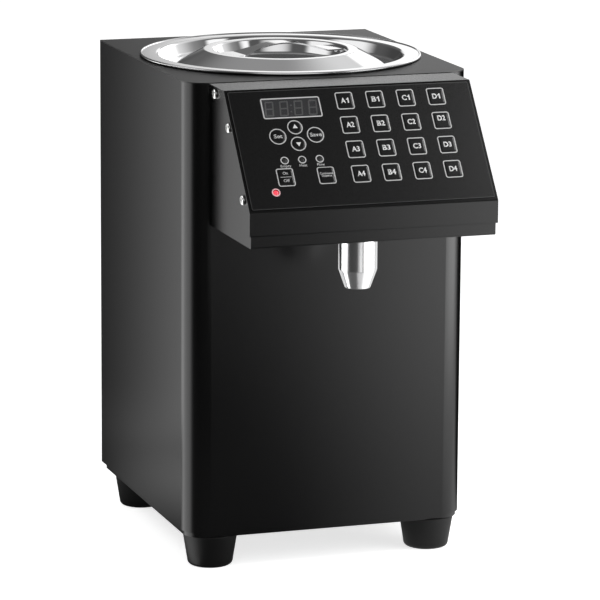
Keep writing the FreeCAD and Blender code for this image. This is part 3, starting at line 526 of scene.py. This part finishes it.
def addPlate(shape, across, down, width, height, radius):
    before = set(shape.faces)
    place = Matrix.Translation((across, -down, 0)) @ Matrix.Diagonal((width, height, 1, 1))
    corners = bmesh.ops.create_grid(shape, x_segments=1, y_segments=1, size=0.5, matrix=place)["verts"]
    bmesh.ops.bevel(shape, geom=corners, offset=radius, segments=keypad["cornerSteps"], profile=0.5,
                    affect="VERTICES", material=-1)
    return [face for face in shape.faces if face not in before]


def addDisc(shape, across, down, diameter, steps=keypad["discSteps"], turn=0.0):
    before = set(shape.faces)
    place = Matrix.Translation((across, -down, 0)) @ Matrix.Rotation(math.radians(turn), 4, "Z")
    bmesh.ops.create_circle(shape, cap_ends=True, segments=steps, radius=diameter / 2, matrix=place)
    return [face for face in shape.faces if face not in before]


def openUp(shape, faces, line):  # leaves a line of that width along the edge
    bmesh.ops.inset_region(shape, faces=faces, thickness=line, use_boundary=True, use_even_offset=True)
    bmesh.ops.delete(shape, geom=faces, context="FACES")


def inkPiece(shape, name, body, finish, height):
    grown = bmesh.ops.extrude_face_region(shape, geom=shape.faces[:])["geom"]
    top = [item for item in grown if isinstance(item, bmesh.types.BMVert)]
    bmesh.ops.translate(shape, vec=(0, 0, keypad["ink"]), verts=top)
    bmesh.ops.recalc_face_normals(shape, faces=shape.faces[:])
    bmesh.ops.transform(shape, matrix=slope @ Matrix.Translation((0, 0, height)), verts=shape.verts)
    finishPiece(shape, name, body, finish)


def printPiece(shape, name, body, finish):  # printed on the film, or on the key that is its body
    if body == "cabinet":
        inkPiece(shape, name, body, finish, keypad["filmTop"])
    else:
        inkPiece(shape, name, body, finish, keypad["keyTop"])


outlines = {
    "film": (0, 61.4, 228.6, 118.4, 1.5),
    "filmHighlightLine": 0.55,
    "line": 0.95,
    "gridKey": (16.7, 17.5, 2.4),
    "powerKey": (-77.0, 89.85, 16.0, 18.0, 2.3),
    "pourKey": (-38.9, 89.95, 16.2, 17.0, 2.3),
    "sideRings": ((-76.2, 48.9), (-40.9, 48.9)),
    "sideRing": 15.9,
    "arrowRings": ((-58.5, 40.4), (-58.5, 57.1)),
    "arrowRing": 14.3,
    "lampRings": ((-74.7, 73.1), (-58.3, 73.1), (-41.9, 73.1)),
    "lampRing": 7.7,
    "lampLine": 1.0,
    "powerLamp": (-88.9, 104.3),
    "powerLampRing": 7.9,
    "powerLampLine": 1.15,
    "display": (-57.8, 20.5, 55.6, 20.8, 2.0),
    "displayLine": 1.15,
}


def makeOutlines():
    shape = bmesh.new()
    for across in keypad["columns"]:
        for down in keypad["rows"]:
            openUp(shape, addPlate(shape, across, down, *outlines["gridKey"]), outlines["line"])
    for key in ("powerKey", "pourKey"):
        openUp(shape, addPlate(shape, *outlines[key]), outlines["line"])
    for ring, line in (("sideRing", "line"), ("arrowRing", "line"), ("lampRing", "lampLine")):
        for across, down in outlines[ring + "s"]:
            openUp(shape, addDisc(shape, across, down, outlines[ring]), outlines[line])
    openUp(shape, addPlate(shape, *outlines["display"]), outlines["displayLine"])
    printPiece(shape, "keypadOutlines", "cabinet", "printGrey")


def makePowerLampRing():
    shape = bmesh.new()
    ring = addDisc(shape, *outlines["powerLamp"], outlines["powerLampRing"])
    openUp(shape, ring, outlines["powerLampLine"])
    printPiece(shape, "powerLampRing", "cabinet", "lampRingInk")


# a lighter line laid round the film's edge, standing in for the highlight on that edge: painted highlight
def makeFilmEdgeHighlight():
    shape = bmesh.new()
    openUp(shape, addPlate(shape, *outlines["film"]), outlines["filmHighlightLine"])
    printPiece(shape, "filmBorder", "cabinet", "paintedEdgeHighlight")


lettering = {"curveSteps": 4, "lead": 0.8, "weld": 0.00001}


def printWords(name, words, middle, size, body, finish, weight):
    curve = bpy.data.curves.new(name, "FONT")
    curve.body = words
    curve.align_x = "CENTER"
    curve.offset = weight
    curve.space_line = lettering["lead"]
    curve.resolution_u = lettering["curveSteps"]
    text = bpy.data.objects.new(name + "Curve", curve)
    scene.collection.objects.link(text)
    bpy.context.view_layer.update()
    shape = bmesh.new()
    shape.from_mesh(bpy.data.meshes.new_from_object(text))
    bpy.data.objects.remove(text)
    bmesh.ops.remove_doubles(shape, verts=shape.verts, dist=lettering["weld"])
    xs = [vert.co.x for vert in shape.verts]
    ys = [vert.co.y for vert in shape.verts]
    centre = Vector(((max(xs) + min(xs)) / 2, (max(ys) + min(ys)) / 2, 0))
    stretch = (size[0] / (max(xs) - min(xs)), size[1] / (max(ys) - min(ys)), 1)
    across, down = middle
    bmesh.ops.translate(shape, vec=-centre, verts=shape.verts)
    bmesh.ops.scale(shape, vec=stretch, verts=shape.verts)
    bmesh.ops.translate(shape, vec=(across, -down, 0), verts=shape.verts)
    printPiece(shape, name, body, finish)


gridLegends = {
    "width": 7.5,
    "height": 5.4,
    "weight": 0.03,
    "raised": {"d2": 2.2},
    "nudge": -0.1,
    "letterWidth": 4.4,
    "numeralOne": ((1.25, 0), (2.45, 0), (2.45, 5.4), (1.55, 5.4), (1.2, 4.7), (0.7, 4.25), (0, 4.0),
                   (0, 3.05), (0.65, 3.25), (1.25, 3.6)),
}


def printOne(key, right, down):  # the numeral 1 with its flag
    shape = bmesh.new()
    left = right - max(x for x, y in gridLegends["numeralOne"])
    base = -down - gridLegends["height"] / 2
    corners = [shape.verts.new((left + x, base + y, 0)) for x, y in gridLegends["numeralOne"]]
    shape.faces.new(corners)
    printPiece(shape, "numeral_" + key, "button_" + key, "printWhite")


def makeGridLegends():
    for i, across in enumerate(keypad["columns"]):
        for j, down in enumerate(keypad["rows"]):
            key = "abcd"[i] + str(j + 1)
            words, width = key.upper(), gridLegends["width"]
            place = across + gridLegends["nudge"]
            down -= gridLegends["raised"].get(key, 0.0)
            if j == 0:
                printOne(key, place + width / 2, down)
                words, place = words[0], place - (width - gridLegends["letterWidth"]) / 2
                width = gridLegends["letterWidth"]
            printWords("legend_" + key, words, (place, down), (width, gridLegends["height"]),
                       "button_" + key, "printWhite", gridLegends["weight"])


smallWords = {  # words, their middle across and down, their size, body and weight
    "legend_set": ("Set", (-76.2, 48.9), (8.0, 4.0), "button_set", 0.02),
    "legend_save": ("Save", (-40.9, 48.9), (11.0, 3.9), "button_save", 0.02),
    "legend_on": ("On", (-77.0, 86.0), (4.6, 2.9), "button_power", 0.01),
    "legend_off": ("Off", (-77.0, 93.4), (5.8, 2.9), "button_power", 0.01),
    "legend_continuous": ("Continuous\nDispense", (-38.9, 89.6), (12.4, 5.2), "button_continuous", 0.02),
    "label_empty": ("Empty", (-74.7, 79.05), (10.0, 3.2), "cabinet", 0.01),
    "label_heat": ("Heat", (-58.3, 78.7), (7.2, 2.5), "cabinet", 0.01),
    "label_flow": ("Flow", (-41.9, 78.7), (7.0, 2.5), "cabinet", 0.01),
}


def makeSmallWords():
    for name, (words, middle, size, body, weight) in smallWords.items():
        printWords(name, words, middle, size, body, "printGrey", weight)


signs = {
    "divider": (-77.0, 89.8, 10.4, 0.45, 0.1),
    "arrow": 5.4,
    "arrowAcross": -58.5,
    "arrows": {"up": (40.2, 0.0), "down": (57.3, 180.0)},
}


def makeSigns():  # the line between On and Off, and the two arrows
    shape = bmesh.new()
    addPlate(shape, *signs["divider"])
    printPiece(shape, "powerDivider", "button_power", "printGrey")
    for name, (down, turn) in signs["arrows"].items():
        shape = bmesh.new()
        addDisc(shape, signs["arrowAcross"], down, signs["arrow"], steps=3, turn=turn)
        printPiece(shape, "arrow_" + name, "button_" + name, "printWhite")


makeOutlines()
makePowerLampRing()
makeFilmEdgeHighlight()
makeGridLegends()
makeSmallWords()
makeSigns()
print("keypad printed")


# the display behind its window: a grey backing, and four unlit digits with a colon

display = {
    "backing": (-57.8, 20.5, 56.0, 20.5, 1.2),
    "backingSurface": -1.5,
    "surface": -1.46,
    "across": (-82.3, -68.6, -55.0, -41.4),
    "top": 12.7,
    "height": 15.3,
    "width": 8.3,
    "bar": 1.35,
    "gap": 0.18,
    "overlap": 0.6,
    "rounding": 0.48,
    "lean": 0.12,
    "colon": -57.7,
    "dots": (0.3, 0.72),
    "dot": 1.6,
    "dotSteps": 16,
}


def makeBacking():
    shape = bmesh.new()
    addPlate(shape, *display["backing"])
    inkPiece(shape, "displayBacking", "cabinet", "displayGrey", display["backingSurface"])


def makeDigits():
    shape = bmesh.new()
    width, height, bar = display["width"], display["height"], display["bar"]
    radius, spare = bar * display["rounding"], bar * display["overlap"] - 2 * display["gap"]
    aside, level = width / 2 - bar / 2, height / 2 - bar / 2
    middle = display["top"] + height / 2
    for left in display["across"]:
        centre = left + width / 2
        for row in (-1, 0, 1):
            addPlate(shape, centre, middle + row * level, width - bar + spare, bar, radius)
        for column in (-1, 1):
            for row in (-0.5, 0.5):
                addPlate(shape, centre + column * aside, middle + row * level, bar, level + spare, radius)
    for row in display["dots"]:
        dotDown = display["top"] + row * height
        addDisc(shape, display["colon"], dotDown, display["dot"], steps=display["dotSteps"])
    lean = Matrix.Shear("YZ", 4, (0, 0))
    lean[0][1] = display["lean"]
    pivot = Matrix.Translation((0, -middle, 0))
    bmesh.ops.transform(shape, matrix=pivot @ lean @ pivot.inverted(), verts=shape.verts)
    inkPiece(shape, "displayDigits", "cabinet", "digitGrey", display["surface"])


makeBacking()
makeDigits()
print("display made")


# the lid, turned from its outline so that its polish is smooth all the way round

lidShape = {  # outline corners are radius, height and bend, in millimetres
    "outline": ((0.0, 448.0, 0.0), (58.0, 448.0, 3.0), (63.5, 461.3, 2.0), (72.5, 461.3, 4.0),
                (104.0, 445.6, 5.0), (110.5, 445.6, 3.0), (115.8, 457.4, 3.5), (130.3, 457.4, 0.0)),
    "sheet": 0.8,
    "roll": (131.5, 456.9, 1.3),
    "rollSweep": (157.4, -166.7),
    "rollSteps": 32,
    "bendSteps": 8,
    "turns": 288,
    "smoothAngle": 35,
    "weld": 0.000001,
}


def bendCorner(before, corner, after, radius):
    arms = [(point - corner).normalized() for point in (before, after)]
    half = arms[0].angle(arms[1]) / 2
    centre = corner + (arms[0] + arms[1]).normalized() * radius / math.sin(half)
    first, last = (corner + arm * radius / math.tan(half) - centre for arm in arms)
    steps = lidShape["bendSteps"]
    return [centre + first.lerp(last, step / steps).normalized() * radius for step in range(steps + 1)]


def lidOutline():  # over the top, round the rolled edge and back underneath, as radius and height
    corners = [Vector(point[:2]) for point in lidShape["outline"]]
    upper = [corners[0]]
    for i in range(1, len(corners) - 1):
        upper += bendCorner(*corners[i - 1:i + 2], lidShape["outline"][i][2])
    upper.append(corners[-1])
    lower = []
    for i, point in enumerate(upper):
        way = (upper[min(i + 1, len(upper) - 1)] - upper[max(i - 1, 0)]).normalized()
        lower.append(point + Vector((way.y, -way.x)) * lidShape["sheet"])
    x, z, radius = lidShape["roll"]
    start, end = (math.radians(angle) for angle in lidShape["rollSweep"])
    steps = lidShape["rollSteps"]
    turns = [start + (end - start) * step / steps for step in range(1, steps + 1)]
    rolled = [Vector((x + radius * math.cos(turn), z + radius * math.sin(turn))) for turn in turns]
    return upper + rolled + lower[-2::-1]


def makeLid():
    shape = bmesh.new()
    verts = [shape.verts.new((point.x * mm, potAxis[1], point.y * mm)) for point in lidOutline()]
    edges = [shape.edges.new(pair) for pair in zip(verts, verts[1:])]
    bmesh.ops.spin(shape, geom=verts + edges, cent=(*potAxis, 0), axis=(0, 0, 1), angle=2 * math.pi,
                   steps=lidShape["turns"], use_merge=True)
    bmesh.ops.remove_doubles(shape, verts=shape.verts, dist=lidShape["weld"])
    bmesh.ops.recalc_face_normals(shape, faces=shape.faces[:])
    turned = finishPiece(shape, "lidTurned", "lid", "polishedLid",
                         lidShape["smoothAngle"])
    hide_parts("lid")


makeLid()
print("lid turned")


# studio floor: white paper, whose mirrored image is graded on each side of the object: in gloss the floor
# glows brighter or darker by place, painted light that sets the light and dark in the object's reflections

paper = {
    "size": 20,
    "shade": (0.80, 0.80, 0.80),
    "darker": 0.985,
    "drift": 3.0,
    "roughness": 0.8,
    "glow": 0.72,
    "front": {
        "origin": -0.084, "slant": 0.342, "span": (-0.10, 0.25), "levels": (0.0, 3.40),
        "nearSpan": (-0.1, -1.3), "nearLevels": (0.52, 1.10),
        "footSpan": (-0.75, -0.40), "footLevels": (0.0, 0.13), "start": (0.05, -0.1)},
    "side": {
        "origin": -0.135, "slant": 2.925, "span": (-0.22, 0.22), "levels": (0.92, 0.0),
        "behind": (0.0, 0.3), "away": (-0.34, -0.24), "least": 0.06, "start": (0.1, -0.1)},
    "rear": {
        "origin": -0.1, "slant": -0.342, "span": (0.12, 0.04),
        "farSpan": (0.20, 1.40), "farLevels": (1.7, 0.25), "left": (-0.125, -0.06),
        "start": (0.10, 0.20)},
    "corner": {
        "at": (-0.125, -0.075, 0), "way": (-0.921, 0.390, 0), "span": (0.755, 0.951),
        "levels": (0.0, 2.8)},
}


def addSlant(tree, first, second, edge):  # first + slant * (second - origin)
    distance = addMath(tree, "SUBTRACT", second, edge["origin"])
    return addMath(tree, "ADD", first, addMath(tree, "MULTIPLY", distance, edge["slant"]))


def addFrontGloss(tree, x, y):
    edge = paper["front"]
    far = addProduct(tree, addFade(tree, addSlant(tree, x, y, edge), edge["span"], edge["levels"]),
                     addFade(tree, y, edge["nearSpan"], edge["nearLevels"]))
    foot = addFade(tree, y, edge["footSpan"], edge["footLevels"])
    return addProduct(tree, addMath(tree, "MAXIMUM", far, foot), addFade(tree, y, edge["start"]))


def addSideGloss(tree, x, y):
    edge = paper["side"]
    along = addSlant(tree, y, x, edge)
    beside = addProduct(tree, addFade(tree, along, edge["span"], edge["levels"], "LINEAR"),
                        addFade(tree, y, edge["behind"]), addFade(tree, x, edge["away"]))
    return addProduct(tree, addMath(tree, "ADD", beside, edge["least"]), addFade(tree, x, edge["start"]))


def addRearGloss(tree, x, y):
    edge = paper["rear"]
    return addProduct(tree, addFade(tree, y, edge["farSpan"], edge["farLevels"]),
                      addFade(tree, y, edge["start"]), addFade(tree, x, edge["left"]),
                      addFade(tree, addSlant(tree, x, y, edge), edge["span"]))


def addCornerGloss(tree, here):
    corner = paper["corner"]
    offset = addVectorMath(tree, "SUBTRACT", here, corner["at"])[0]
    outward = addVectorMath(tree, "NORMALIZE", offset)[0]
    toward = addVectorMath(tree, "DOT_PRODUCT", outward, corner["way"])["Value"]
    return addFade(tree, toward, corner["span"], corner["levels"])


def addPaintedReflectionGlow(tree, here):
    place = splitPlace(tree, here)
    gloss = addCornerGloss(tree, here)
    for addGloss in (addFrontGloss, addSideGloss, addRearGloss):
        gloss = addMath(tree, "MAXIMUM", gloss, addGloss(tree, place["X"], place["Y"]))
    return gloss


def makeFloor():
    tree, inputs, here = newFinish("floorPaper", paper["shade"], paper["roughness"])
    inputs["Emission Color"].default_value = (1, 1, 1, 1)
    darker = [value * paper["darker"] for value in paper["shade"]]
    addTint(tree, inputs, here, paper["drift"], paper["shade"], darker)
    path = addNode(tree, "ShaderNodeLightPath", {})
    glow = addMath(tree, "MULTIPLY", path["Is Camera Ray"], paper["glow"])
    tree.links.new(glow, inputs["Emission Strength"])
    # glossy rays see a glow painted brighter or darker by place on the floor: painted reflection light
    glossy = addNode(tree, "ShaderNodeEmission", {}, ("Strength", addPaintedReflectionGlow(tree, here)))[0]
    mirrored = addMath(tree, "MAXIMUM", path["Is Glossy Ray"], path["Is Transmission Ray"])
    plain = tree.nodes["Principled BSDF"].outputs[0]
    mixed = addNode(tree, "ShaderNodeMixShader", {}, (0, mirrored), (1, plain), (2, glossy))[0]
    tree.links.new(mixed, tree.nodes["Material Output"].inputs["Surface"])
    shape = bmesh.new()
    bmesh.ops.create_grid(shape, x_segments=1, y_segments=1, size=paper["size"])
    mesh = bpy.data.meshes.new("floor")
    shape.to_mesh(mesh)
    shape.free()
    mesh.materials.append(finishes["floorPaper"])
    floor = bpy.data.objects.new("floor", mesh)
    scene.collection.objects.link(floor)


# lamps: a strip shows only in gloss, and some soft lamps are dimmer on the lid

lamps = {
    "rightSoft": {
        "at": (0.656, -0.475, 0.36), "aim": (0.125, -0.075, 0.36), "size": (0.74, 0.78),
        "edge": (0.25, 0.2), "watts": 6.5, "wattsOnLid": 2.3},
    "leftSoft": {
        "at": (-0.777, 0.229, 0.95), "aim": (-0.125, -0.075, 0.46), "size": (1.10, 0.60),
        "edge": (0.3, 0.3), "watts": 6.2, "wattsOnLid": 2.1},
    "sideStrip": {
        "at": (-0.391, 0.357, 0.24), "aim": (-0.0745, -0.5686, 0.24), "size": (0.42, 0.56),
        "edge": (0.5, 0.15), "watts": 0.86},
    "rearCard": {
        "at": (1.09, 0.98, 0.85), "aim": (0.05, 0.05, 0.45), "size": (1.20, 0.90),
        "edge": (0.3, 0.2), "watts": 5.0, "wattsOnLid": 4.2},
    "rearStrip": {
        "at": (0.40, 1.00, 0.625), "aim": (0.0, 0.06, 0.457), "size": (0.80, 0.21),
        "edge": (0.45, 0.15), "watts": 0.52},
    "overSoft": {
        "at": (0.80, -0.425, 1.20), "aim": (0.10, -0.15, 0.40), "size": (0.50, 0.45),
        "edge": (0.25, 0.25), "watts": 9.5, "wattsOnLid": 0.8},
    "frontStrip": {
        "at": (0.0, -0.91, 0.145), "aim": (0.0, -0.16, 0.30), "size": (0.24, 0.05),
        "edge": (0.3, 0.3), "watts": 0.07},
    "spoutSoft": {
        "at": (0.12, -0.85, 0.13), "aim": (0.0, -0.16, 0.28), "size": (0.80, 0.30),
        "edge": (0.12, 0.3), "watts": 0.42, "only": "nozzle_body"},
    "spoutLow": {
        "at": (0.045, -0.385, 0.012), "aim": (0.0, -0.16, 0.265), "size": (0.38, 0.16),
        "edge": (0.12, 0.3), "watts": 0.15, "only": "nozzle_body"},
    "spoutBack": {
        "at": (0.013, -0.10, 0.265), "aim": (0.0, -0.16, 0.275), "size": (0.48, 0.12),
        "edge": (0.1, 0.2), "watts": 0.15, "only": "nozzle_body"},
}
lidPieces = ("lidTurned", "lid_handle")


def softenEdges(data, edge):  # the cloth of a softbox is dimmer towards its frame
    data.use_nodes = True
    tree = data.node_tree
    place = splitPlace(tree, addNode(tree, "ShaderNodeNewGeometry", {})["Parametric"])
    strength = 1.0
    for axis, width in zip("XY", edge):
        inward = addMath(tree, "MINIMUM", place[axis], addMath(tree, "SUBTRACT", 1.0, place[axis]))
        strength = addMath(tree, "MULTIPLY", strength, addFade(tree, inward, (0.0, width)))
    tree.links.new(strength, tree.nodes["Emission"].inputs["Strength"])


def addLamp(name, lamp, watts):
    data = bpy.data.lights.new(name, "AREA")
    data.shape = "RECTANGLE"
    data.size, data.size_y = lamp["size"]
    data.energy = watts
    softenEdges(data, lamp["edge"])
    light = bpy.data.objects.new(name, data)
    light.location = lamp["at"]
    light.rotation_mode = "QUATERNION"
    aim = Vector(lamp["aim"]) - Vector(lamp["at"])
    light.rotation_quaternion = aim.to_track_quat("-Z", "Y")
    light.visible_camera = False
    light.visible_diffuse = "Strip" not in name
    scene.collection.objects.link(light)
    return light


def linkPieces(light, names, state):  # INCLUDE lights only those pieces, EXCLUDE all the others
    linked = bpy.data.collections.new(light.name)
    for name in names:
        linked.objects.link(cad[name] if name in cad else bpy.data.objects[name])
    for item in linked.collection_objects:
        item.light_linking.link_state = state
    light.light_linking.receiver_collection = linked
    return linked


def makeLamps():
    for name, lamp in lamps.items():
        light = addLamp(name, lamp, lamp["watts"])
        if "wattsOnLid" in lamp:
            linkPieces(light, lidPieces, "EXCLUDE")
            linkPieces(addLamp(name + "OnLid", lamp, lamp["wattsOnLid"]), lidPieces, "INCLUDE")
        if "only" in lamp:  # the cabinet behind it casts no shadow in this light
            light.light_linking.blocker_collection = linkPieces(light, (lamp["only"],), "INCLUDE")


# surroundings: white to the camera, even to matt surfaces, graded by direction in gloss

surroundings = {
    "even": 0.50,
    "heights": (0.05, 0.40),
    "gloss": (0.03, 0.11),
    "lobes": (
        {"way": (0.10, 0.99, 0.10), "span": (0.85, 1.0), "level": 0.03},
        {"way": (0.15, 0.50, 0.85), "span": (0.80, 1.0), "level": 0.22},
        {"way": (0.95, 0.20, 0.05), "span": (0.60, 1.0), "level": 0.30},
        {"way": (0.72, 0.55, 0.42), "span": (0.74, 1.0), "level": 0.66},
        {"way": (-0.15, -0.93, 0.33), "span": (0.80, 0.95), "level": 0.90},
    ),
}


def makeSurroundings():
    world = bpy.data.worlds.new("studio")
    scene.world = world
    world.use_nodes = True
    tree = world.node_tree
    background = tree.nodes["Background"].inputs
    aim = addNode(tree, "ShaderNodeTexCoord", {})["Generated"]
    gloss = addFade(tree, splitPlace(tree, aim)["Z"], surroundings["heights"], surroundings["gloss"])
    for lobe in surroundings["lobes"]:
        toward = addVectorMath(tree, "DOT_PRODUCT", aim, lobe["way"])["Value"]
        gloss = addMath(tree, "ADD", gloss, addFade(tree, toward, lobe["span"], (0.0, lobe["level"])))
    path = addNode(tree, "ShaderNodeLightPath", {})
    mirrored = addMath(tree, "MAXIMUM", path["Is Glossy Ray"], path["Is Transmission Ray"])
    plain = addRange(tree, path["Is Camera Ray"], surroundings["even"], 1.0)
    strength = addNode(tree, "ShaderNodeMix", {"data_type": "FLOAT"}, (0, mirrored), (2, plain), (3, gloss))
    tree.links.new(strength[0], background["Strength"])
    background["Color"].default_value = (1, 1, 1, 1)


makeFloor()
makeLamps()
makeSurroundings()
print("studio lit")
